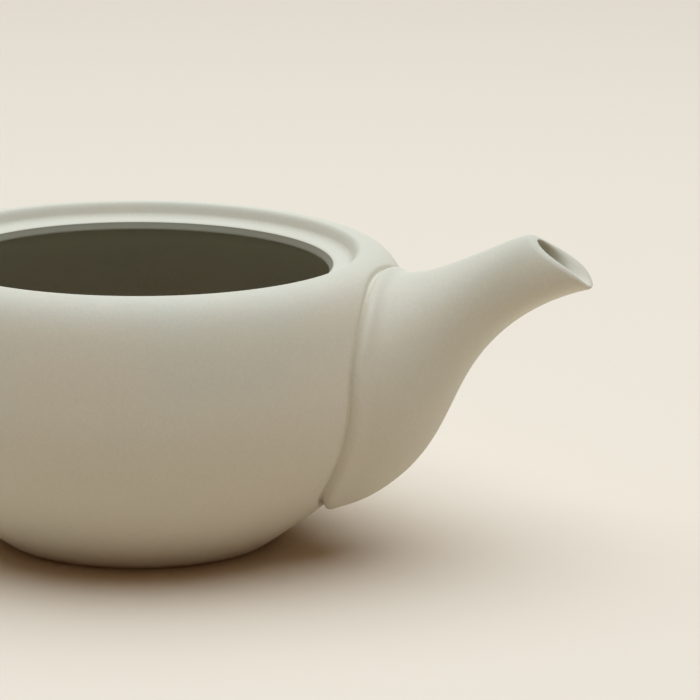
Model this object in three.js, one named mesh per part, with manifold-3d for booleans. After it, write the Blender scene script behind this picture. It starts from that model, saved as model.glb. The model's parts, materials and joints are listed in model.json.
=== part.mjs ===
// A small Japanese clay teapot: a round body with a recessed rim for its lid, a bell-rooted spout,
// a pierced strainer inside, a loop handle at the back, and a loose lid that lies behind the pot.
// Millimetres, +Z up. The origin is the centre of the flat foot, and +X points along the spout.
import * as THREE from "three";
import { LoftGeometry } from "three/addons/geometries/LoftGeometry.js";
import { mergeVertices } from "three/addons/utils/BufferGeometryUtils.js";
import Module from "manifold-3d";

const wasm = await Module();
wasm.setup();

// Driving dimensions
const BODY_R = 56; // widest radius
const BODY_H = 60; // height of the rim's crest
const GIRTH_H = 38.5; // height of the widest level
const FOOT_R = 27; // radius of the flat foot
const CREST_R = 45.3; // radius of the rim's crest
const LEDGE_H = 57; // height of the ledge that carries the lid
const RECESS_R = 43.4; // radius of the recess, under the crest
const LEDGE_R = 42.4; // where the recess wall turns into the ledge
const LIP_R = 39.4; // radius of the opening at the ledge
const MOUTH_R = 38.7; // and at the lip's underside
const LIP_T = 2; // thickness of the lip round the opening
const WALL = 3; // thickness of the body's wall
const FLOOR_T = 4; // thickness of the body's floor
const GAP = 0.3; // joint between two pieces of clay
const PORT_H = 31; // height of the port in the wall behind the strainer
const PORT_R = 11;
const LID_R = 41.6; // radius of the lid's flange
const SPIGOT_R = 37.2; // radius of the ring that drops into the opening
const LID_REST = 112; // how far from the pot's axis the lid lies
const LID_SIDE = THREE.MathUtils.degToRad(108); // the direction in which it lies, from +X
const ROUND = 48; // steps round the body and the lid

const point = (x, y) => new THREE.Vector2(x, y);

// The point at t on the Bezier curve of these control points.
function onCurve(points, t) {
  if (points.length === 1) return points[0];
  const next = points.slice(1).map((p, i) => points[i].clone().lerp(p, t));
  return onCurve(next, t);
}

// Points along a Bezier curve, without its first one.
function curve(points, steps) {
  return Array.from({ length: steps }, (_, i) => onCurve(points, (i + 1) / steps));
}

// A closed geometry as a solid: shared corners merged, faces without area dropped.
function solid(geometry) {
  const bare = new THREE.BufferGeometry();
  bare.setAttribute("position", geometry.getAttribute("position"));
  bare.setIndex(geometry.getIndex());
  const merged = mergeVertices(bare, 1e-4);
  const corners = merged.getIndex().array;
  const kept = [];
  for (let i = 0; i < corners.length; i += 3) {
    const [a, b, c] = corners.slice(i, i + 3);
    if (a !== b && b !== c && c !== a) kept.push(a, b, c);
  }
  const vertProperties = merged.getAttribute("position").array;
  const triVerts = new Uint32Array(kept);
  return new wasm.Manifold(new wasm.Mesh({ numProp: 3, vertProperties, triVerts }));
}

// A solid as a named mesh with its own clay material.
function piece(name, shape, color, roughness) {
  const { vertProperties, triVerts } = shape.getMesh();
  const geometry = new THREE.BufferGeometry();
  geometry.setAttribute("position", new THREE.BufferAttribute(vertProperties, 3));
  geometry.setIndex(new THREE.BufferAttribute(triVerts, 1));
  const faceted = geometry.toNonIndexed();
  faceted.computeVertexNormals();
  const clay = new THREE.MeshStandardMaterial({ color, roughness, metalness: 0 });
  const mesh = new THREE.Mesh(faceted, clay);
  mesh.name = name;
  return mesh;
}

// A profile of radius and height, turned about the Z axis.
function turned(profile, steps = ROUND) {
  return solid(new THREE.LatheGeometry(profile, steps).rotateX(Math.PI / 2));
}

// The lower and the upper curve of the body's outside, from the foot to the crest.
const LOWER = [
  point(FOOT_R, 0),
  point(FOOT_R + 10.5, 7.5),
  point(BODY_R, GIRTH_H - 18.7),
  point(BODY_R, GIRTH_H),
];
const UPPER = [
  point(BODY_R, GIRTH_H),
  point(BODY_R, GIRTH_H + 14.1),
  point(CREST_R + 7.5, BODY_H),
  point(CREST_R, BODY_H),
];

// The body's outside profile, moved outwards by a distance.
function outside(distance = 0) {
  const points = [LOWER[0], ...curve(LOWER, 10), ...curve(UPPER, 11)];
  return points.map((p, i) => {
    const before = points[Math.max(i - 1, 0)];
    const after = points[Math.min(i + 1, points.length - 1)];
    const along = after.clone().sub(before).normalize();
    return point(p.x + along.y * distance, p.y - along.x * distance);
  });
}

// The cavity's profile from the axis to the lip, moved inwards by a distance.
function inside(distance = 0) {
  const wall = BODY_R - WALL - distance;
  const low = FLOOR_T + distance;
  const top = LEDGE_H - LIP_T - distance;
  const floor = [point(24, low), point(35, low + 6.5), point(wall, 22), point(wall, GIRTH_H)];
  const shoulder = [floor[3], point(wall, 49.5), point(47, top), point(MOUTH_R + 0.4, top)];
  return [point(0, low), floor[0], ...curve(floor, 8), ...curve(shoulder, 7)];
}

// The bowl: crest, recess wall, ledge and lip in one turning, with the port through its wall.
function potBody() {
  const rim = [
    point(CREST_R - 0.8, BODY_H - 0.2),
    point(CREST_R - 1.3, BODY_H - 0.9),
    point(RECESS_R, BODY_H - 2),
    point(LEDGE_R, LEDGE_H + 0.35),
    point(LEDGE_R - 1.4, LEDGE_H),
    point(LIP_R + 0.3, LEDGE_H),
    point(LIP_R, LEDGE_H - 0.4),
    point(MOUTH_R, LEDGE_H - LIP_T + 0.4),
  ];
  const profile = [point(0, 0), ...outside(), ...rim, ...inside().reverse()];
  const drillLength = 30;
  const drill = new THREE.CylinderGeometry(PORT_R, PORT_R, drillLength, 32);
  drill.rotateZ(Math.PI / 2).translate(BODY_R, 0, PORT_H);
  return turned(profile).subtract(solid(drill));
}

// The body as a plain block, grown by the joint's gap, to trim what is luted on it.
function bodyBlock() {
  return turned([point(0, -GAP), ...outside(GAP), point(0, BODY_H + GAP)]);
}

// The cavity as a plain block, shrunk by the joint's gap, to trim what is luted inside it.
function cavityBlock() {
  return turned([...inside(GAP), point(0, LEDGE_H - LIP_T - GAP)]);
}

// The spout in its plane of symmetry, from root to mouth: its upper and its lower line.
const SPOUT_TOP = [
  point(50.3, 58.2),
  point(54.5, 59.6),
  point(56.1, 52.5),
  point(80.1, 70),
  point(82.3, 67.7),
];
const SPOUT_KEEL = [
  point(41.2, 10.2),
  point(44.8, 5.6),
  point(71.9, 27),
  point(60.8, 22.8),
  point(64.7, 50.4),
  point(94.2, 57.9),
];
const SPOUT_HALF_WIDTH = [point(25.2, 0), point(21.3, 0), point(9.1, 0), point(5.1, 0)];
const ROOT_EGG = 0.14; // how much fuller the root is above than below
const MOUTH_EGG = -0.07; // the mouth is a little fuller below
const ROOT_WALL = 3.2; // thickness of the spout's wall at its root
const LIP_WALL = 1.5; // and at its mouth
const SPOUT_STEPS = 18; // rings along the spout
const SPOUT_SIDES = 28; // points round each ring

// One ring of the spout at t, between its upper and lower line, thinned by a wall.
function spoutRing(t, wall, shift = point(0, 0)) {
  const top = onCurve(SPOUT_TOP, t).add(shift);
  const keel = onCurve(SPOUT_KEEL, t).add(shift);
  const middle = top.clone().add(keel).multiplyScalar(0.5);
  const up = top.clone().sub(keel).multiplyScalar(0.5);
  const tall = 1 - wall / up.length();
  const width = onCurve(SPOUT_HALF_WIDTH, t).x - wall;
  const egg = ROOT_EGG * (1 - t) ** 2 + MOUTH_EGG * t ** 3;
  return Array.from({ length: SPOUT_SIDES }, (_, i) => {
    const angle = (i / SPOUT_SIDES) * 2 * Math.PI;
    const rise = Math.cos(angle) * tall;
    const side = -Math.sin(angle) * width * (1 + egg * Math.cos(angle));
    return new THREE.Vector3(middle.x + up.x * rise, side, middle.y + up.y * rise);
  });
}

// The spout: a skin and a bore that starts inside the body and runs out past the mouth.
function spout() {
  const intoBody = point(-7, 0);
  const pastMouth = point(2, 2.2);
  const skin = [spoutRing(0, 0, intoBody)];
  const bore = [spoutRing(0, ROOT_WALL, intoBody)];
  for (let i = 0; i <= SPOUT_STEPS; i += 1) {
    const t = i / SPOUT_STEPS;
    skin.push(spoutRing(t, 0));
    bore.push(spoutRing(t, THREE.MathUtils.lerp(ROOT_WALL, LIP_WALL, t)));
  }
  bore.push(spoutRing(1, LIP_WALL, pastMouth));
  const caps = { capStart: true, capEnd: true };
  const tube = solid(new LoftGeometry(skin, caps)).subtract(solid(new LoftGeometry(bore, caps)));
  return tube.subtract(bodyBlock());
}

// The strainer: a thin dome over the port, pierced in rings.
const DOME_R = 17;
const DOME_T = 1.8;
const DOME_X = BODY_R - WALL + 8; // centre of the dome's sphere
const HOLE_R = 1.1;
const HOLE_RINGS = 3;
const HOLES_A_RING = 6; // holes in the first ring, and so many more in each next one
const HOLE_STEP = THREE.MathUtils.degToRad(13); // angle between two rings of holes

function strainer() {
  const ball = (radius) => solid(new THREE.SphereGeometry(radius, 28, 16).translate(DOME_X, 0, PORT_H));
  let dome = ball(DOME_R).subtract(ball(DOME_R - DOME_T)).intersect(cavityBlock());
  for (let ring = 0; ring <= HOLE_RINGS; ring += 1) {
    const count = Math.max(1, ring * HOLES_A_RING);
    for (let i = 0; i < count; i += 1) {
      const hole = new THREE.CylinderGeometry(HOLE_R, HOLE_R, 3 * DOME_T, 6).rotateZ(Math.PI / 2);
      hole.translate(-DOME_R, 0, 0).rotateY(ring * HOLE_STEP);
      hole.rotateX((i / count) * 2 * Math.PI).translate(DOME_X, 0, PORT_H);
      dome = dome.subtract(solid(hole));
    }
  }
  return dome;
}

// The loop handle: its centre line from the shoulder out and back in, and its section along it.
const HANDLE_LINE = [point(-48, 48), point(-76, 62), point(-108, 38), point(-44, 17)];
const HANDLE_HALF_WIDTH = [point(9, 0), point(5.4, 0), point(5.4, 0), point(8, 0)];
const HANDLE_HALF_THICKNESS = [point(5.4, 0), point(3.2, 0), point(3.2, 0), point(5, 0)];
const HANDLE_STEPS = 20;
const HANDLE_SIDES = 16;

function handle() {
  const rings = Array.from({ length: HANDLE_STEPS + 1 }, (_, i) => {
    const t = i / HANDLE_STEPS;
    const middle = onCurve(HANDLE_LINE, t);
    const ahead = onCurve(HANDLE_LINE, t + 0.01);
    const normal = ahead.sub(middle).normalize().rotateAround(point(0, 0), Math.PI / 2);
    const width = onCurve(HANDLE_HALF_WIDTH, t).x;
    const thick = onCurve(HANDLE_HALF_THICKNESS, t).x;
    return Array.from({ length: HANDLE_SIDES }, (_, k) => {
      const angle = (k / HANDLE_SIDES) * 2 * Math.PI;
      const out = normal.clone().multiplyScalar(Math.cos(angle) * thick).add(middle);
      return new THREE.Vector3(out.x, -Math.sin(angle) * width, out.y);
    });
  });
  const loop = solid(new LoftGeometry(rings, { capStart: true, capEnd: true }));
  return loop.subtract(bodyBlock());
}

// The lid in its own frame: Z up along its axis, its flange resting on the plane Z = 0.
const LID_EDGE_T = 2.6; // thickness of the flange at its edge
const LID_CROWN = 8.2; // height of the crown under the knob
const SPIGOT_DEPTH = 6;
const VENT_R = 1.3; // the steam hole, on the spout's side of the seated lid
const VENT_AT = 25; // its distance from the axis
const CROWN_CURVE = [
  point(LID_R - 0.8, LID_EDGE_T),
  point(30, 5.2),
  point(16, LID_CROWN),
  point(0, LID_CROWN),
];
const LID_TOP = [
  point(LID_R - 0.6, 0),
  point(LID_R, 0.6),
  point(LID_R, LID_EDGE_T - 0.8),
  CROWN_CURVE[0],
  ...curve(CROWN_CURVE, 7),
];

function lid() {
  const under = [
    point(0, LID_CROWN - 3.4),
    point(14, LID_CROWN - 3.8),
    point(26, LID_EDGE_T),
    point(SPIGOT_R - 3.4, 0.2),
    point(SPIGOT_R - 2.8, 0.5 - SPIGOT_DEPTH),
    point(SPIGOT_R - 2.2, -SPIGOT_DEPTH),
    point(SPIGOT_R - 0.9, -SPIGOT_DEPTH),
    point(SPIGOT_R - 0.3, 0.6 - SPIGOT_DEPTH),
    point(SPIGOT_R, -1),
    point(SPIGOT_R + 0.3, 0),
  ];
  const vent = new THREE.CylinderGeometry(VENT_R, VENT_R, 20, 12).rotateX(Math.PI / 2);
  vent.translate(VENT_AT, 0, LID_EDGE_T).rotateZ(-LID_SIDE);
  return turned([...under, ...LID_TOP]).subtract(solid(vent));
}

// The knob: a short waist and a flattened ball, seated on the crown with the joint's gap.
const KNOB_R = 9;
const KNOB_FOOT_R = 5.4;
const KNOB_FOOT = LID_CROWN + GAP; // level of its seat
const KNOB_GIRTH = KNOB_FOOT + 8; // its widest level
const KNOB_TOP = LID_CROWN + 14;
const KNOB_WAIST = [
  point(KNOB_FOOT_R, KNOB_FOOT),
  point(4.2, KNOB_FOOT + 3.4),
  point(KNOB_R, KNOB_FOOT + 3.2),
  point(KNOB_R, KNOB_GIRTH),
];
const KNOB_CAP = [
  point(KNOB_R, KNOB_GIRTH),
  point(KNOB_R, KNOB_GIRTH + 4),
  point(KNOB_FOOT_R, KNOB_TOP),
  point(0, KNOB_TOP),
];
const KNOB_PROFILE = [point(0, KNOB_FOOT), KNOB_WAIST[0], ...curve(KNOB_WAIST, 6), ...curve(KNOB_CAP, 7)];
const KNOB_ROUND = 28;

// How far below the lid's centre its lowest point is, when it lies upside down with this tilt.
function depth(profile, tilt) {
  return Math.max(...profile.map((p) => p.y * Math.cos(tilt) + p.x * Math.sin(tilt)));
}

// The tilt at which the upturned lid touches the table with its knob and its edge at once.
function restingTilt() {
  let low = 0;
  let high = Math.PI / 3;
  for (let i = 0; i < 50; i += 1) {
    const middle = (low + high) / 2;
    if (depth(KNOB_PROFILE, middle) > depth(LID_TOP, middle)) low = middle;
    else high = middle;
  }
  return low;
}

// The lid's centre on its seat and where it lies, as distance from the pot's axis and height.
const TILT = restingTilt();
const LID_TURN = Math.PI + TILT;
const SEATED = point(0, LEDGE_H + GAP);
const RESTING = point(LID_REST, depth(LID_TOP, TILT));

// One turn about a level axis takes the lid from where it lies to its seat. This is that axis's
// distance from the pot's axis and its height.
function lidAxis() {
  const half = SEATED.clone().sub(RESTING).multiplyScalar(0.5);
  const lean = 1 / Math.tan(LID_TURN / 2);
  return point(RESTING.x + half.x - half.y * lean, RESTING.y + half.y + half.x * lean);
}

// The lid and its knob on their seat, turned back about the level axis to where they lie.
function lidGroup() {
  const out = new THREE.Vector3(Math.cos(LID_SIDE), Math.sin(LID_SIDE), 0);
  const up = new THREE.Vector3(0, 0, 1);
  const axis = lidAxis();
  const seated = new THREE.Group();
  seated.add(piece("lid", lid(), 0xcdcbbf, 0.8));
  seated.add(piece("lid_knob", turned(KNOB_PROFILE, KNOB_ROUND), 0xcfcdc1, 0.78));
  seated.rotation.z = LID_SIDE;
  seated.position.copy(out).multiplyScalar(SEATED.x - axis.x).setZ(SEATED.y - axis.y);
  const turning = new THREE.Group();
  turning.add(seated);
  turning.position.copy(out).multiplyScalar(axis.x).setZ(axis.y);
  turning.rotateOnAxis(out.cross(up), -LID_TURN);
  return turning;
}

const kyusu = new THREE.Group();
kyusu.add(piece("pot_body", potBody(), 0xcccabd, 0.8));
kyusu.add(piece("spout", spout(), 0xcccbbe, 0.8));
kyusu.add(piece("strainer", strainer(), 0xc2bfb1, 0.9));
kyusu.add(piece("handle", handle(), 0xcac8bb, 0.8));
kyusu.add(lidGroup());

export default kyusu;
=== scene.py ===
import json
import math

import bmesh
import bpy
import numpy as np
from mathutils import Matrix, Vector


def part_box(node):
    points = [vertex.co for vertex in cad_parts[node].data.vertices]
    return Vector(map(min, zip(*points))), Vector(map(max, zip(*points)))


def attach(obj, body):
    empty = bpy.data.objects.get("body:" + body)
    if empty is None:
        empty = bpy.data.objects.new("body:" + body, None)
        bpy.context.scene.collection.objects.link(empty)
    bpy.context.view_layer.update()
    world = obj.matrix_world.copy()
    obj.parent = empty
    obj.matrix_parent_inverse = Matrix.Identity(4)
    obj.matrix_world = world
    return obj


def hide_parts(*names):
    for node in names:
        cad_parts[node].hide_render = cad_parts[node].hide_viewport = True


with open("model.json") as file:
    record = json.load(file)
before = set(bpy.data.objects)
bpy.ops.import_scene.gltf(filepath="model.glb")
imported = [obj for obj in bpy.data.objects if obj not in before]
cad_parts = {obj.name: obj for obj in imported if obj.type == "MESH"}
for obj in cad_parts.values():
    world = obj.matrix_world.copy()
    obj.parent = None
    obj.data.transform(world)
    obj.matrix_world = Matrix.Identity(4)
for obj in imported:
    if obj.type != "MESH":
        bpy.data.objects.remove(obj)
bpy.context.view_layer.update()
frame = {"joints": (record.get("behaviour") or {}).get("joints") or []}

# Pot body: the bowl, cast and turned in one piece of fine pale clay and left matt. It has a flat
# foot, a round crest, and a ledge sunk in the rim for the lid. A round port in its wall, behind
# the strainer, leads into the spout.
BODY_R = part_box("pot_body")[1].y
BODY_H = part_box("pot_body")[1].z
GIRTH_H = 0.0385
FOOT_R = 0.027
CREST_R = 0.0453
RECESS_R = 0.0434
LEDGE_H = 0.057
LIP_R = 0.0394
MOUTH_R = 0.0387
LIP_T = 0.002
UNDER_LIP_R = 0.0395
WALL = 0.003
FLOOR_T = 0.004
FLOOR_FLAT_R = 0.024
PORT_H = 0.031
PORT_R = 0.011
FOOT_EDGE_END = 0.04
LOWER = [(FOOT_R, 0), (FOOT_R + 0.0105, 0.0075), (BODY_R, GIRTH_H - 0.0187), (BODY_R, GIRTH_H)]
UPPER = [(BODY_R, GIRTH_H), (BODY_R, GIRTH_H + 0.0141), (CREST_R + 0.0075, BODY_H), (CREST_R, BODY_H)]


def on_curve(points, t):
    """The point at t on the Bezier curve of these control points. t may be an array."""
    t = np.asarray(t, float)[..., None]
    row = [np.array(p, float) for p in points]
    while len(row) > 1:
        row = [a + (b - a) * t for a, b in zip(row, row[1:])]
    return row[0]


def stretch(points, steps, start=0.0):
    """Points along a Bezier curve, from start to its end."""
    return [tuple(p) for p in on_curve(points, np.linspace(start, 1, steps + 1))]


def line_mesh(name, points):
    """A mesh of one open line through points of radius and height, without double ones."""
    kept = [p for i, p in enumerate(points) if i == 0 or math.dist(p, points[i - 1]) > 1e-6]
    mesh = bpy.data.meshes.new(name)
    mesh.from_pydata([(r, 0, z) for r, z in kept], [(i, i + 1) for i in range(len(kept) - 1)], [])
    made = bpy.data.objects.new(name, mesh)
    bpy.context.scene.collection.objects.link(made)
    return made


def wire(tree, kind, inputs=None, **settings):
    """A new node in the tree. Its inputs are sockets to link or values to set, by name or place."""
    node = tree.nodes.new(kind)
    for key, value in settings.items():
        setattr(node, key, value)
    for key, value in (inputs or {}).items():
        if isinstance(value, bpy.types.NodeSocket):
            tree.links.new(value, node.inputs[key])
        else:
            node.inputs[key].default_value = value
    return node


def sums(tree, operation, a, b=0.0):
    """The output of one Math node in the tree."""
    return wire(tree, "ShaderNodeMath", {0: a, 1: b}, operation=operation).outputs[0]


def new_tree(name, inputs):
    """A geometry tree whose first input and only output is geometry. inputs are names and kinds."""
    tree = bpy.data.node_groups.new(name, "GeometryNodeTree")
    tree.is_modifier = True
    tree.interface.new_socket("Geometry", in_out="OUTPUT", socket_type="NodeSocketGeometry")
    tree.interface.new_socket("Geometry", in_out="INPUT", socket_type="NodeSocketGeometry")
    for title, kind in inputs.items():
        tree.interface.new_socket(title, in_out="INPUT", socket_type="NodeSocket" + kind)
    return tree, tree.nodes.new("NodeGroupInput").outputs


def end_tree(tree, geometry, clay):
    """Ends the tree in smooth shading, real geometry and its clay."""
    smooth = wire(tree, "GeometryNodeSetShadeSmooth", {"Geometry": geometry}).outputs[0]
    real = wire(tree, "GeometryNodeRealizeInstances", {"Geometry": smooth}).outputs[0]
    clad = wire(tree, "GeometryNodeSetMaterial", {"Geometry": real, "Material": clay}).outputs[0]
    wire(tree, "NodeGroupOutput", {"Geometry": clad})


def settle(made, modifier):
    """Makes what the modifier shows the object's own mesh, and takes the modifier off."""
    bpy.context.view_layer.update()
    seen = made.evaluated_get(bpy.context.evaluated_depsgraph_get())
    made.data = bpy.data.meshes.new_from_object(seen)
    made.modifiers.remove(modifier)


def run_tree(made, tree, values):
    """Runs the tree on the object with these values for its named inputs."""
    modifier = made.modifiers.new(tree.name, "NODES")
    modifier.node_group = tree
    for socket in tree.interface.items_tree:
        if socket.in_out == "INPUT" and socket.name in values:
            modifier[socket.identifier] = values[socket.name]
    settle(made, modifier)


def potters_wheel():
    """A tree that turns a line from axis to axis into a closed body round the Z axis."""
    tree, given = new_tree("potters_wheel", {"Steps Round": "Int", "Clay": "Material"})
    sizes = wire(tree, "GeometryNodeAttributeDomainSize", {"Geometry": given["Geometry"]})
    count = sizes.outputs["Point Count"]
    columns = sums(tree, "ADD", given["Steps Round"], 1)
    grid = wire(tree, "GeometryNodeMeshGrid", {"Vertices X": columns, "Vertices Y": count})
    index = wire(tree, "GeometryNodeInputIndex").outputs[0]
    row = sums(tree, "MODULO", index, count)
    column = sums(tree, "FLOOR", sums(tree, "DIVIDE", index, count))
    angle = sums(tree, "MULTIPLY", sums(tree, "DIVIDE", column, given["Steps Round"]), math.tau)
    place = wire(tree, "GeometryNodeInputPosition").outputs[0]
    sample = wire(tree, "GeometryNodeSampleIndex", data_type="FLOAT_VECTOR", domain="POINT")
    tree.links.new(given["Geometry"], sample.inputs["Geometry"])
    tree.links.new(place, sample.inputs["Value"])
    tree.links.new(row, sample.inputs["Index"])
    spun = {"Vector": sample.outputs["Value"], "Angle": angle}
    turn = wire(tree, "ShaderNodeVectorRotate", spun, rotation_type="Z_AXIS").outputs[0]
    bent = wire(tree, "GeometryNodeSetPosition", {"Geometry": grid.outputs[0], "Position": turn})
    near = {"Geometry": bent.outputs[0], "Distance": 1e-6}
    closed = wire(tree, "GeometryNodeMergeByDistance", near).outputs[0]
    end_tree(tree, closed, given["Clay"])
    return tree


WHEEL = potters_wheel()


def turned(name, profile, clay, steps=192):
    """A body of clay turned from a profile of radius and height."""
    made = line_mesh(name, profile)
    run_tree(made, WHEEL, {"Steps Round": steps, "Clay": clay})
    return made


def cylinder(name, radius, start, end, sides):
    """A closed cylinder from one point to another, as a tool to cut with."""
    mesh = bpy.data.meshes.new(name)
    shape = bmesh.new()
    length = (end - start).length
    bmesh.ops.create_cone(
        shape, cap_ends=True, segments=sides, radius1=radius, radius2=radius, depth=length
    )
    turn = (end - start).to_track_quat("Z", "Y").to_matrix().to_4x4()
    shape.transform(Matrix.Translation((start + end) / 2) @ turn)
    shape.to_mesh(mesh)
    shape.free()
    made = bpy.data.objects.new(name, mesh)
    bpy.context.scene.collection.objects.link(made)
    return made


def clean_cut(made):
    """Takes out the slivers without area that a cut leaves, and keeps its edges sharp."""
    shape = bmesh.new()
    shape.from_mesh(made.data)
    crowded = [face for face in shape.faces if len(face.verts) > 4]
    bmesh.ops.triangulate(shape, faces=crowded)
    bmesh.ops.dissolve_degenerate(shape, edges=shape.edges, dist=2e-6)
    shape.to_mesh(made.data)
    shape.free()
    made.data.set_sharp_from_angle(angle=math.radians(40))


def cut(made, tool):
    """Takes the tool's shape out of the object, and the tool out of the scene."""
    modifier = made.modifiers.new("cut", "BOOLEAN")
    modifier.operation = "DIFFERENCE"
    modifier.solver = "EXACT"
    modifier.object = tool
    settle(made, modifier)
    bpy.data.objects.remove(tool)
    clean_cut(made)


def distance_from(outline, points):
    """How far points are outside a turned outline of radius and height. Inside is negative."""
    outline = np.array(outline)
    starts, along = outline[:-1], outline[1:] - outline[:-1]
    flat = np.stack([np.hypot(points[..., 0], points[..., 1]), points[..., 2]], -1)[..., None, :]
    share = ((flat - starts) * along).sum(-1) / np.maximum((along**2).sum(-1), 1e-18)
    apart = flat - (starts + along * np.clip(share, 0, 1)[..., None])
    size = np.linalg.norm(apart, axis=-1)
    nearest = size.argmin(-1)[..., None]
    side = apart[..., 0] * along[..., 1] - apart[..., 1] * along[..., 0]
    sign = np.sign(np.take_along_axis(side, nearest, -1))[..., 0]
    return np.take_along_axis(size, nearest, -1)[..., 0] * sign


CLAY_TONE = np.array((0.735, 0.690, 0.562))
# Painted shade for the inside of the pot: its darker tone, its strength low down, the height over
# which it grows to full under the lip, and how far within the outer skin it starts.
PAINTED_SHADE_TONE = np.array((0.30, 0.28, 0.20))
PAINTED_SHADE_LOW = 0.65
PAINTED_SHADE_FADES_OVER = 0.004
PAINTED_SHADE_DEPTH = 0.0012
BARE_FOOT = (0.46, 0.40, 0.31)
BARE_FOOT_H = 0.0014
COOLER = (0.98, 0.998, 1.006)
WARMER = (1.013, 0.998, 0.99)
COLOUR_A, COLOUR_B = 6, 7  # the Mix node's sockets for two colours


def fired_clay(name, tone, grain=0.05, bare_foot_and_shade=False):
    """Matt fired clay with clouds of a cooler and a warmer tone, fine grains and a skin with tooth.

    Scales are waves to the metre. Clay for the pot's body also has a bare foot, and painted shade
    in a darker tone, as strong as its point attribute of painted shade says.
    """
    material = bpy.data.materials.new(name)
    material.use_nodes = True
    tree = material.node_tree
    shader = tree.nodes["Principled BSDF"]
    place = wire(tree, "ShaderNodeTexCoord").outputs["Object"]

    def noise(scale, detail):
        size = {"Vector": place, "Scale": scale, "Detail": detail, "Roughness": 0.55}
        return wire(tree, "ShaderNodeTexNoise", size).outputs["Fac"]

    def ramp(factor, low, high, bottom=0.0, top=1.0):
        ends = {"Value": factor, "From Min": low, "From Max": high, "To Min": bottom, "To Max": top}
        return wire(tree, "ShaderNodeMapRange", ends).outputs["Result"]

    def mix(factor, a, b, kind="MIX"):
        both = {"Factor": factor, COLOUR_A: a, COLOUR_B: b}
        blend = wire(tree, "ShaderNodeMix", both, data_type="RGBA", blend_type=kind)
        return blend.outputs[2]

    clouds = ramp(noise(34, 3), 0.36, 0.64)
    body = mix(clouds, (*tone * COOLER, 1), (*tone * WARMER, 1))
    grains = ramp(noise(1700, 2), 0.30, 0.70)
    body = mix(grains, mix(1.0, body, (1 - grain,) * 3 + (1,), "MULTIPLY"), body)
    if bare_foot_and_shade:
        height = wire(tree, "ShaderNodeSeparateXYZ", {"Vector": place}).outputs["Z"]
        body = mix(ramp(height, BARE_FOOT_H, BARE_FOOT_H - 0.001), body, (*BARE_FOOT, 1))
        # Painted shade: the inside is mixed towards a darker tone, as strongly as the point attribute
        # says.
        painted_shade = wire(tree, "ShaderNodeAttribute", attribute_name="painted_shade").outputs["Fac"]
        body = mix(painted_shade, body, mix(clouds, (*PAINTED_SHADE_TONE * COOLER, 1), (*PAINTED_SHADE_TONE * WARMER, 1)))
    tree.links.new(body, shader.inputs["Base Color"])
    tree.links.new(ramp(noise(310, 2), 0.3, 0.7, 0.50, 0.60), shader.inputs["Roughness"])
    shader.inputs["Specular IOR Level"].default_value = 0.4
    shader.inputs["Diffuse Roughness"].default_value = 0.6
    tooth = sums(tree, "ADD", noise(2600, 3), sums(tree, "MULTIPLY", noise(420, 2), 1.4))
    bump = {"Height": tooth, "Strength": 0.35, "Distance": 0.00006}
    tree.links.new(wire(tree, "ShaderNodeBump", bump).outputs[0], shader.inputs["Normal"])
    return material


OUTSIDE = stretch(LOWER, 64) + stretch(UPPER, 64)
crest = [
    (CREST_R, BODY_H),
    (CREST_R - 0.0009, BODY_H),
    (RECESS_R + 0.0005, BODY_H - 0.0011),
    (RECESS_R, BODY_H - 0.0020),
]
cove = [
    crest[-1],
    (RECESS_R - 0.0005, LEDGE_H + 0.0003),
    (RECESS_R - 0.0015, LEDGE_H + 0.0001),
    (LIP_R + 0.0012, LEDGE_H),
]
lip_top = [cove[-1], (LIP_R + 0.0001, LEDGE_H), (LIP_R, LEDGE_H - 0.0004)]
UNDER_LIP_H = LEDGE_H - LIP_T
lip_under = [(MOUTH_R, UNDER_LIP_H + 0.0005), (MOUTH_R, UNDER_LIP_H), (UNDER_LIP_R, UNDER_LIP_H)]
shoulder_in = [
    lip_under[-1],
    (UNDER_LIP_R + 0.0075, UNDER_LIP_H),
    (BODY_R - WALL, GIRTH_H + 0.011),
    (BODY_R - WALL, GIRTH_H),
]
floor_in = [
    shoulder_in[-1],
    (BODY_R - WALL, GIRTH_H - 0.0165),
    (FLOOR_FLAT_R + 0.011, FLOOR_T + 0.0065),
    (FLOOR_FLAT_R, FLOOR_T),
]
INSIDE = stretch(shoulder_in, 48) + stretch(floor_in, 48)
foot_edge = [
    (FOOT_R - 0.0009, 0),
    (FOOT_R + 0.0002, 0),
    LOWER[0],
    tuple(on_curve(LOWER, FOOT_EDGE_END)),
]
body_profile = [
    (0, 0),
    *stretch(foot_edge, 8),
    *stretch(LOWER, 62, start=FOOT_EDGE_END),
    *stretch(UPPER, 64),
    *stretch(crest, 16),
    *stretch(cove, 20),
    *stretch(lip_top, 10),
    *stretch([lip_top[-1], lip_under[0]], 4),
    *stretch(lip_under, 8),
    *INSIDE,
    (0, FLOOR_T),
]
pot_body = turned("pot_body_clay", body_profile, fired_clay("pot_clay", CLAY_TONE, bare_foot_and_shade=True))
port_start, port_end = Vector((BODY_R - 0.015, 0, PORT_H)), Vector((BODY_R + 0.015, 0, PORT_H))
cut(pot_body, cylinder("port_tool", PORT_R, port_start, port_end, 64))
places = np.array([corner.co for corner in pot_body.data.vertices])
heights = places[:, 2]
# Painted shade on the inside of the pot: every point within the outer skin and below the ledge is
# darkened, fully under the lip and more weakly lower down.
painted_shade_mask = (distance_from(OUTSIDE, places) < -PAINTED_SHADE_DEPTH) & (heights < LEDGE_H - 0.0002)
painted_shade_strength = np.interp(heights, (UNDER_LIP_H - PAINTED_SHADE_FADES_OVER, UNDER_LIP_H), (PAINTED_SHADE_LOW, 1))
painted_shade = pot_body.data.attributes.new("painted_shade", "FLOAT", "POINT")
painted_shade.data.foreach_set("value", painted_shade_mask * painted_shade_strength)
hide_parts("pot_body")
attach(pot_body, "pot")

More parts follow.
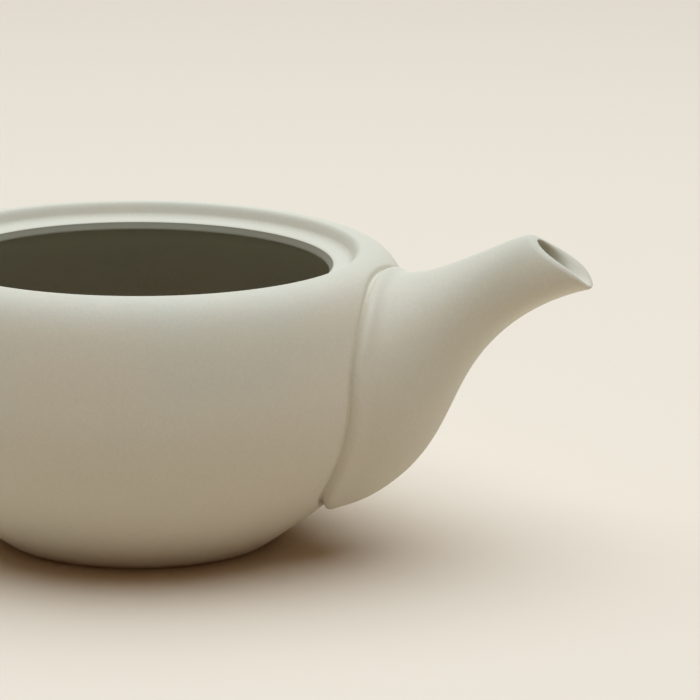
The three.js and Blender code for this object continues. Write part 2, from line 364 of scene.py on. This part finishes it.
# Spout: a hollow S-curve made apart, with a wide bell root and a slanted mouth. It is luted on the
# finished body with slip, and its rounded edge leaves a soft groove all round the joint. Its curves
# are control points: distance from the body's axis and height, or half a width.
SPOUT_TOP = [(0.0503, 0.0582), (0.0545, 0.0596), (0.0561, 0.0525), (0.0801, 0.07), (0.0823, 0.0677)]
SPOUT_KEEL = [
    (0.0412, 0.0102),
    (0.0448, 0.0056),
    (0.0719, 0.027),
    (0.0608, 0.0228),
    (0.0647, 0.0504),
    (0.0947, 0.0580),
]
SPOUT_HALF_WIDTH = [(0.0252,), (0.0213,), (0.0091,), (0.0051,)]
ROOT_EGG = 0.14
MOUTH_EGG = -0.07
MOUTH_BULGE = 0.0005
BULGE_FROM = 0.8
BULGE_LEAN = 1.4
ROOT_WALL = 0.0032
LIP_WALL = 0.0015
LIP_SWELL = 1.4
LIP_ROUND = 0.0009
ROOT_ROUND = 0.0012
BEAD, BEAD_AT, BEAD_WIDTH = 0.0005, 0.0012, 0.0009
VALLEY, VALLEY_AT, VALLEY_WIDTH = 0.00012, 0.0034, 0.0012
GROOVE, GROOVE_WIDTH = 0.0006, 0.0007
SPOUT_SIDES = 128
SPOUT_RINGS = 100


def spout_skin(t, angle, wall=0.0):
    """Points of the spout at t along it and at an angle from its top, sunk by a wall."""
    top, keel = on_curve(SPOUT_TOP, t), on_curve(SPOUT_KEEL, t)
    middle, up = (top + keel) / 2, (top - keel) / 2
    tall = np.linalg.norm(up, axis=-1)
    rise = np.cos(angle) * (1 - wall / tall)
    egg = ROOT_EGG * (1 - t) ** 2 + MOUTH_EGG * t**3
    width = on_curve(SPOUT_HALF_WIDTH, t)[..., 0] - wall
    side = np.sin(angle) * width * (1 + egg * np.cos(angle))
    late = np.clip((t - BULGE_FROM) / (1 - BULGE_FROM), 0, 1) ** 2
    push = MOUTH_BULGE * late * np.sin(angle) ** 2 * (1 - BULGE_LEAN * np.cos(angle)) / tall
    ahead = middle[..., 0] + up[..., 0] * rise + up[..., 1] * push
    height = middle[..., 1] + up[..., 1] * rise - up[..., 0] * push
    return np.stack([ahead, side, height], -1)


def meeting(surface, outline, low, high):
    """Where each column of a surface crosses a turned outline, between low inside and high outside."""
    for _ in range(40):
        middle = (low + high) / 2
        inside = distance_from(outline, surface(middle)) < 0
        low, high = np.where(inside, middle, low), np.where(inside, high, middle)
    return (low + high) / 2


def crowded_ends(count):
    """A column of shares from 0 to 1 that lie closer together at both ends."""
    share = np.linspace(0, 1, count)[:, None]
    return share**2 * (3 - 2 * share)


def rounding(reach, radius):
    """How deep a quarter-round edge has dropped at a reach from its end."""
    left = np.clip(radius - reach, 0, radius)
    return radius - np.sqrt(radius**2 - left**2)


def outwards(rows):
    """Unit normals of a grid of rows and closed columns, pointing away from its middle line."""
    along = np.gradient(rows, axis=0)
    across = np.roll(rows, -1, axis=1) - np.roll(rows, 1, axis=1)
    normal = np.cross(along, across)
    normal /= np.maximum(np.linalg.norm(normal, axis=-1, keepdims=True), 1e-12)
    away = rows - rows.mean(axis=1, keepdims=True)
    return normal * np.sign((normal * away).sum(axis=(-1, -2)))[:, None, None]


def ringed(name, rows, clay, closed=False):
    """A closed mesh of rings of points. Its last ring meets the first one, or both ends are capped."""
    count, sides = len(rows), len(rows[0])
    points = [tuple(p) for row in rows for p in row]
    faces = []
    for i in range(count if closed else count - 1):
        a, b = i * sides, (i + 1) % count * sides
        for k in range(sides):
            after = (k + 1) % sides
            faces.append((a + k, a + after, b + after, b + k))
    if not closed:
        for ring in (0, count - 1):
            points.append(tuple(rows[ring].mean(axis=0)))
            for k in range(sides):
                faces.append((ring * sides + k, ring * sides + (k + 1) % sides, len(points) - 1))
    mesh = bpy.data.meshes.new(name)
    mesh.from_pydata(points, [], faces)
    shape = bmesh.new()
    shape.from_mesh(mesh)
    bmesh.ops.remove_doubles(shape, verts=shape.verts, dist=1e-6)
    bmesh.ops.recalc_face_normals(shape, faces=shape.faces)
    shape.to_mesh(mesh)
    shape.free()
    mesh.shade_smooth()
    mesh.set_sharp_from_angle(angle=math.radians(60))
    mesh.materials.append(clay)
    made = bpy.data.objects.new(name, mesh)
    bpy.context.scene.collection.objects.link(made)
    return made


def away_from(line, places):
    """How far each place is from a closed line of points. Places far off it count as endlessly far."""
    away = np.full(len(places), np.inf)
    margin = 4 * GROOVE_WIDTH
    near = ((places > line.min(axis=0) - margin) & (places < line.max(axis=0) + margin)).all(axis=-1)
    along = np.roll(line, -1, axis=0) - line
    apart = places[near, None] - line
    share = np.clip((apart * along).sum(-1) / (along**2).sum(-1), 0, 1)
    away[near] = np.linalg.norm(apart - along * share[..., None], axis=-1).min(axis=-1)
    return away


def press_groove(made, line):
    """Presses a soft groove into a mesh, along a closed line of points on it."""
    shape = bmesh.new()
    shape.from_mesh(made.data)
    middles = np.array([sum((v.co for v in edge.verts), Vector()) / 2 for edge in shape.edges])
    near = away_from(line, middles) < 4 * GROOVE_WIDTH
    edges = [edge for edge, chosen in zip(shape.edges, near) if chosen]
    bmesh.ops.subdivide_edges(shape, edges=edges, cuts=3, use_grid_fill=True)
    shape.normal_update()
    away = away_from(line, np.array([corner.co for corner in shape.verts]))
    for corner, sunk in zip(shape.verts, GROOVE * np.exp(-((away / GROOVE_WIDTH) ** 2))):
        corner.co -= corner.normal * sunk
    shape.to_mesh(made.data)
    shape.free()


spout_angle = np.linspace(0, math.tau, SPOUT_SIDES, endpoint=False)
first, last = np.zeros(SPOUT_SIDES), np.full(SPOUT_SIDES, 0.5)
spout_steps = crowded_ends(SPOUT_RINGS)
root = meeting(lambda t: spout_skin(t, spout_angle), OUTSIDE, first, last)
skin = spout_skin(root + (1 - root) * spout_steps, spout_angle)
press_groove(pot_body, skin[0])
bore_root = meeting(lambda t: spout_skin(t, spout_angle, ROOT_WALL), OUTSIDE, first, last)
bore_t = bore_root + (1 - bore_root) * spout_steps
lip_wall = LIP_WALL * (1 + LIP_SWELL * (1 - np.cos(spout_angle)) / 2)
bore = spout_skin(bore_t, spout_angle, ROOT_WALL + (lip_wall - ROOT_WALL) * bore_t)

mouth_out = np.cross(skin[-1, 0] - skin[-1, SPOUT_SIDES // 2], (0, 1, 0))
mouth_out /= np.linalg.norm(mouth_out)
mouth_out *= np.sign(mouth_out[0])
inward = (bore - skin) / np.linalg.norm(bore - skin, axis=-1, keepdims=True)
lip_round = np.minimum(lip_wall / 2, LIP_ROUND)
skin_lip = rounding((skin[-1] - skin) @ mouth_out, lip_round)[..., None]
bore_lip = rounding((bore[-1] - bore) @ mouth_out, lip_wall - lip_round)[..., None]
reach = np.maximum(distance_from(OUTSIDE, skin), 0)[..., None]
bead = BEAD * np.exp(-(((reach - BEAD_AT) / BEAD_WIDTH) ** 2))
valley = VALLEY * np.exp(-(((reach - VALLEY_AT) / VALLEY_WIDTH) ** 2))
skin = skin + inward * skin_lip + outwards(skin) * (bead - valley - rounding(reach, ROOT_ROUND))
bore = bore - inward * bore_lip

spout_rings = np.concatenate([skin, bore[::-1]])
spout = ringed("spout_clay", spout_rings, fired_clay("spout_clay", CLAY_TONE), closed=True)
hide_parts("spout")
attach(spout, "pot")

# Strainer: a thin dome of the same clay, left unglazed and pierced by hand with a punch while it
# is soft. It is luted inside the wall, over the port that leads into the spout. Its tone is
# painted darker, as shade inside the pot.
DOME_R = 0.017
DOME_T = 0.0018
DOME_X = BODY_R - WALL + 0.008
DOME_FILLET = 0.0016
HOLE_R = 0.00085
HOLE_STEP = math.radians(9.5)
HOLE_RINGS = 5
HOLES_A_RING = 6
PUNCH_SIDES = 14
PUNCH_LENGTH = 0.4
DOME_SIDES = 96
DOME_ROWS = 40


def dome_skin(tilt, turn, radius):
    """Points of the dome's sphere at a tilt from its pole, which looks back into the pot."""
    out = np.sin(tilt)
    side, height = radius * out * np.cos(turn), PORT_H + radius * out * np.sin(turn)
    return np.stack([DOME_X - radius * np.cos(tilt), side, height], -1)


def hole_punch():
    """A tree that pierces a dome with rings of round holes, all pointing to its centre."""
    inputs = {
        "Dome Radius": "Float", "Hole Radius": "Float", "Hole Step": "Float",
        "Centre": "Vector", "Clay": "Material",
    }
    tree, given = new_tree("hole_punch", inputs)
    rings = []
    for ring in range(HOLE_RINGS + 1):
        tilt = sums(tree, "MULTIPLY", given["Hole Step"], ring)
        across = sums(tree, "MULTIPLY", given["Dome Radius"], sums(tree, "SINE", tilt))
        ahead = sums(tree, "MULTIPLY", given["Dome Radius"], sums(tree, "COSINE", tilt))
        holes = max(1, HOLES_A_RING * ring)
        dots = wire(tree, "GeometryNodePoints", {"Count": holes}).outputs[0]
        index = wire(tree, "GeometryNodeInputIndex").outputs[0]
        turn = sums(tree, "MULTIPLY", index, math.tau / holes)
        y = sums(tree, "MULTIPLY", across, sums(tree, "COSINE", turn))
        z = sums(tree, "MULTIPLY", across, sums(tree, "SINE", turn))
        x = sums(tree, "MULTIPLY", ahead, -1)
        spot = wire(tree, "ShaderNodeCombineXYZ", {"X": x, "Y": y, "Z": z}).outputs[0]
        placed = {"Geometry": dots, "Position": spot}
        rings.append(wire(tree, "GeometryNodeSetPosition", placed).outputs[0])
    join = wire(tree, "GeometryNodeJoinGeometry")
    for ring in rings:
        tree.links.new(ring, join.inputs[0])
    place = wire(tree, "GeometryNodeInputPosition").outputs[0]
    aim = wire(tree, "FunctionNodeAlignRotationToVector", {"Vector": place}, axis="Z").outputs[0]
    depth = sums(tree, "MULTIPLY", given["Dome Radius"], PUNCH_LENGTH)
    size = {"Vertices": PUNCH_SIDES, "Radius": given["Hole Radius"], "Depth": depth}
    punch = wire(tree, "GeometryNodeMeshCylinder", size, fill_type="NGON").outputs["Mesh"]
    copies = {"Points": join.outputs[0], "Instance": punch, "Rotation": aim}
    punches = wire(tree, "GeometryNodeInstanceOnPoints", copies).outputs[0]
    real = wire(tree, "GeometryNodeRealizeInstances", {"Geometry": punches}).outputs[0]
    there = wire(tree, "GeometryNodeTransform", {"Geometry": real, "Translation": given["Centre"]})
    pierce = wire(tree, "GeometryNodeMeshBoolean", operation="DIFFERENCE", solver="EXACT")
    tree.links.new(given["Geometry"], pierce.inputs["Mesh 1"])
    tree.links.new(there.outputs[0], pierce.inputs["Mesh 2"])
    end_tree(tree, pierce.outputs["Mesh"], given["Clay"])
    return tree


turn = np.linspace(0, math.tau, DOME_SIDES, endpoint=False)
low, high = np.full(DOME_SIDES, 0.2), np.full(DOME_SIDES, math.pi / 2)
cavity = INSIDE[::-1]
edge = meeting(lambda tilt: dome_skin(tilt, turn, DOME_R), cavity, low, high)
tilts = edge * np.linspace(0, 1, DOME_ROWS)[:, None]
outer = dome_skin(tilts, turn, DOME_R)
from_wall = -distance_from(cavity, outer)
flare = np.clip(DOME_FILLET - from_wall, 0, None) ** 2 / DOME_FILLET / 2
outer = dome_skin(tilts, turn, DOME_R + flare)
inner = dome_skin(tilts, turn, DOME_R - DOME_T)
# The strainer's clay is painted darker, as shade inside the pot.
STRAINER_CLAY = fired_clay("strainer_clay", CLAY_TONE * 0.58, grain=0.08)
rows = np.concatenate([outer, inner[::-1]])
strainer = ringed("strainer_clay", rows, STRAINER_CLAY)
run_tree(strainer, hole_punch(), {
    "Dome Radius": DOME_R, "Hole Radius": HOLE_R, "Hole Step": HOLE_STEP,
    "Centre": (DOME_X, 0, PORT_H), "Clay": STRAINER_CLAY,
})
clean_cut(strainer)
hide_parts("strainer")
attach(strainer, "pot")

# Handle: a pulled loop of clay opposite the spout, wide and flat where it is luted to the shoulder
# and to the belly, and slimmer where a finger goes through. It ends in soft fillets.
HANDLE_LINE = [(-0.048, 0.048), (-0.076, 0.062), (-0.108, 0.038), (-0.044, 0.017)]
HANDLE_HALF_WIDTH = [(0.009,), (0.0054,), (0.0054,), (0.008,)]
HANDLE_HALF_THICKNESS = [(0.0054,), (0.0032,), (0.0032,), (0.005,)]
HANDLE_FILLET = 0.0022
HANDLE_SIDES = 64
HANDLE_RINGS = 120


def handle_skin(t, angle):
    """Points of the handle at t along its loop and at an angle round it."""
    middle = on_curve(HANDLE_LINE, t)
    ahead = on_curve(HANDLE_LINE, t + 1e-3) - middle
    ahead /= np.linalg.norm(ahead, axis=-1, keepdims=True)
    out = np.cos(angle) * on_curve(HANDLE_HALF_THICKNESS, t)[..., 0]
    side = np.sin(angle) * on_curve(HANDLE_HALF_WIDTH, t)[..., 0]
    reach, height = middle[..., 0] - ahead[..., 1] * out, middle[..., 1] + ahead[..., 0] * out
    return np.stack([reach, side, height], -1)


handle_angle = np.linspace(0, math.tau, HANDLE_SIDES, endpoint=False)
near, middle, far = np.zeros(HANDLE_SIDES), np.full(HANDLE_SIDES, 0.5), np.ones(HANDLE_SIDES)
upper_end = meeting(lambda t: handle_skin(t, handle_angle), OUTSIDE, near, middle)
lower_end = meeting(lambda t: handle_skin(t, handle_angle), OUTSIDE, far, middle)
loop_t = upper_end + (lower_end - upper_end) * crowded_ends(HANDLE_RINGS)
loop = handle_skin(loop_t, handle_angle)
off_body = np.clip(distance_from(OUTSIDE, loop), 0, HANDLE_FILLET)[..., None]
loop = loop + outwards(loop) * (HANDLE_FILLET - off_body) ** 2 / HANDLE_FILLET / 2
handle = ringed("handle_clay", loop, fired_clay("handle_clay", CLAY_TONE))
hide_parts("handle")
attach(handle, "pot")

# Lid: a turned disc with a low crown, a flange that rests on the ledge, and a ring underneath that
# drops into the opening. A steam hole goes through it on the spout's side. It lies upside down
# behind the pot, on its knob and its edge.
LID_R = 0.0416
SPIGOT_R = 0.0372
SPIGOT_T = 0.003
LID_EDGE_T = 0.0026
LID_CROWN = 0.0082
LID_T = 0.0034
SPIGOT_DEPTH = 0.006
VENT_R = 0.0013
VENT_AT = 0.025
GAP = 0.0003
SEAT_H = LEDGE_H + GAP
LID_SIDE = math.radians(108)
swing = frame["joints"][0]
pivot = Matrix.Translation(swing["pos_m"])
turned_over = Matrix.Rotation(-math.radians(swing["range_deg"][1]), 4, Vector(swing["axis"]))
seated = Matrix.Translation((0, 0, SEAT_H)) @ Matrix.Rotation(LID_SIDE, 4, "Z")
lid_place = pivot @ turned_over @ pivot.inverted() @ seated

hollow = [
    (0, LID_CROWN - LID_T),
    (0.017, LID_CROWN - LID_T),
    (0.026, 0.003),
    (SPIGOT_R - SPIGOT_T - 0.0006, 0.0006),
]
ring_in = [
    hollow[-1],
    (SPIGOT_R - SPIGOT_T, 0.0001),
    (SPIGOT_R - SPIGOT_T, -0.001),
    (SPIGOT_R - SPIGOT_T + 0.0002, 0.001 - SPIGOT_DEPTH),
]
ring_end = [
    ring_in[-1],
    (SPIGOT_R - SPIGOT_T + 0.0003, -SPIGOT_DEPTH - 0.0004),
    (SPIGOT_R - 0.0003, -SPIGOT_DEPTH - 0.0004),
    (SPIGOT_R - 0.0003, 0.001 - SPIGOT_DEPTH),
]
ring_out = [ring_end[-1], (SPIGOT_R - 0.0001, -0.003), (SPIGOT_R, 0), (SPIGOT_R + 0.0008, 0)]
flange = [(LID_R - 0.0007, 0), (LID_R, 0), (LID_R, 0.0007)]
flange_top = [(LID_R, LID_EDGE_T - 0.0009), (LID_R, LID_EDGE_T - 0.0001), (LID_R - 0.0009, LID_EDGE_T)]
crown = [flange_top[-1], (0.030, 0.0052), (0.016, LID_CROWN), (0, LID_CROWN)]
lid_profile = [
    *stretch(hollow, 24),
    *stretch(ring_in, 12),
    *stretch(ring_end, 14),
    *stretch(ring_out, 10),
    *stretch(flange, 6),
    *stretch(flange_top, 6),
    *stretch(crown, 48),
]
lid = turned("lid_clay", lid_profile, fired_clay("lid_clay", CLAY_TONE))
vent_at = Matrix.Rotation(-LID_SIDE, 3, "Z") @ Vector((VENT_AT, 0, 0))
vent_start, vent_end = vent_at - Vector((0, 0, 0.01)), vent_at + Vector((0, 0, 0.02))
cut(lid, cylinder("vent_tool", VENT_R, vent_start, vent_end, 32))
lid.data.transform(lid_place)
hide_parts("lid")
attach(lid, "lid")

# Lid knob: a small turned button with a waist, luted on the crown of the lid.
KNOB_R = 0.009
KNOB_FOOT_R = 0.0054
KNOB_WAIST_R = 0.0042
KNOB_FOOT = LID_CROWN + GAP
KNOB_GIRTH = KNOB_FOOT + 0.008
KNOB_TOP = LID_CROWN + 0.014
waist = [
    (KNOB_FOOT_R, KNOB_FOOT),
    (KNOB_WAIST_R, KNOB_FOOT + 0.0034),
    (KNOB_R, KNOB_FOOT + 0.0032),
    (KNOB_R, KNOB_GIRTH),
]
cap = [(KNOB_R, KNOB_GIRTH), (KNOB_R, KNOB_GIRTH + 0.004), (KNOB_FOOT_R, KNOB_TOP), (0, KNOB_TOP)]
knob_profile = [(0, KNOB_FOOT), *stretch(waist, 32), *stretch(cap, 32)]
lid_knob = turned("lid_knob_clay", knob_profile, fired_clay("knob_clay", CLAY_TONE), steps=96)
lid_knob.data.transform(lid_place)
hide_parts("lid_knob")
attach(lid_knob, "lid")

# Floor: a plain matt sheet of warm cream paper, wide enough to fill every view.
FLOOR_REACH = 6.0
mesh = bpy.data.meshes.new("floor")
corners = [(-1, -1), (1, -1), (1, 1), (-1, 1)]
mesh.from_pydata([(x * FLOOR_REACH, y * FLOOR_REACH, 0) for x, y in corners], [], [(0, 1, 2, 3)])
floor = bpy.data.objects.new("floor", mesh)
bpy.context.scene.collection.objects.link(floor)
paper = bpy.data.materials.new("paper")
paper.use_nodes = True
sheet = paper.node_tree.nodes["Principled BSDF"].inputs
sheet["Base Color"].default_value = (0.800, 0.690, 0.560, 1)
sheet["Roughness"].default_value = 0.95
sheet["Specular IOR Level"].default_value = 0.1
mesh.materials.append(paper)

# Light: one wide soft box straight above, and a faint warm room. The room looks pale to the camera
# and in reflections.
ROOM_GLOW = (0.115, 0.050, 0.014, 1)
ROOM_SEEN = (0.76, 0.70, 0.62, 1)
soft_box = bpy.data.lights.new("soft_box", "AREA")
soft_box.shape = "DISK"
soft_box.size = 2.15
soft_box.energy = 23.2
soft_box.color = (0.94, 1.10, 1.24)
lamp = bpy.data.objects.new("soft_box", soft_box)
lamp.location = (0, 0.1, 1.1)
lamp.rotation_euler = (-lamp.location).to_track_quat("-Z", "Y").to_euler()
bpy.context.scene.collection.objects.link(lamp)
room = bpy.data.worlds.new("room")
room.use_nodes = True
rays = wire(room.node_tree, "ShaderNodeLightPath").outputs
seen = sums(room.node_tree, "MAXIMUM", rays["Is Camera Ray"], rays["Is Glossy Ray"])
tones = {"Factor": seen, COLOUR_A: ROOM_GLOW, COLOUR_B: ROOM_SEEN}
paint = wire(room.node_tree, "ShaderNodeMix", tones, data_type="RGBA").outputs[2]
room.node_tree.links.new(paint, room.node_tree.nodes["Background"].inputs["Color"])
bpy.context.scene.world = room
bpy.context.scene.view_settings.view_transform = "Standard"

# Camera: a long lens, a little above the rim, turned towards the spout's side.
VIEW_AZIMUTH = math.radians(18)
VIEW_ELEVATION = math.radians(13.714)
VIEW_DISTANCE = 1.10565
VIEW_TARGET = Vector((0, 0, 0.030154))
VIEW_PAN = math.radians(-2.296)
VIEW_TILT = math.radians(0.435)
VIEW_ROLL = math.radians(0.490)
lens = bpy.data.cameras.new("camera")
lens.sensor_width = 36
lens.lens = 279.7
lens.clip_start, lens.clip_end = 0.05, 50
camera = bpy.data.objects.new("camera", lens)
back = Vector((0, -VIEW_DISTANCE, 0))
back.rotate(Matrix.Rotation(VIEW_AZIMUTH, 3, "Z") @ Matrix.Rotation(-VIEW_ELEVATION, 3, "X"))
pan = Matrix.Rotation(VIEW_AZIMUTH + VIEW_PAN, 4, "Z")
tilt = Matrix.Rotation(math.pi / 2 - VIEW_ELEVATION + VIEW_TILT, 4, "X")
roll = Matrix.Rotation(VIEW_ROLL, 4, "Z")
camera.matrix_world = Matrix.Translation(VIEW_TARGET + back) @ pan @ tilt @ roll
bpy.context.scene.collection.objects.link(camera)
bpy.context.scene.camera = camera
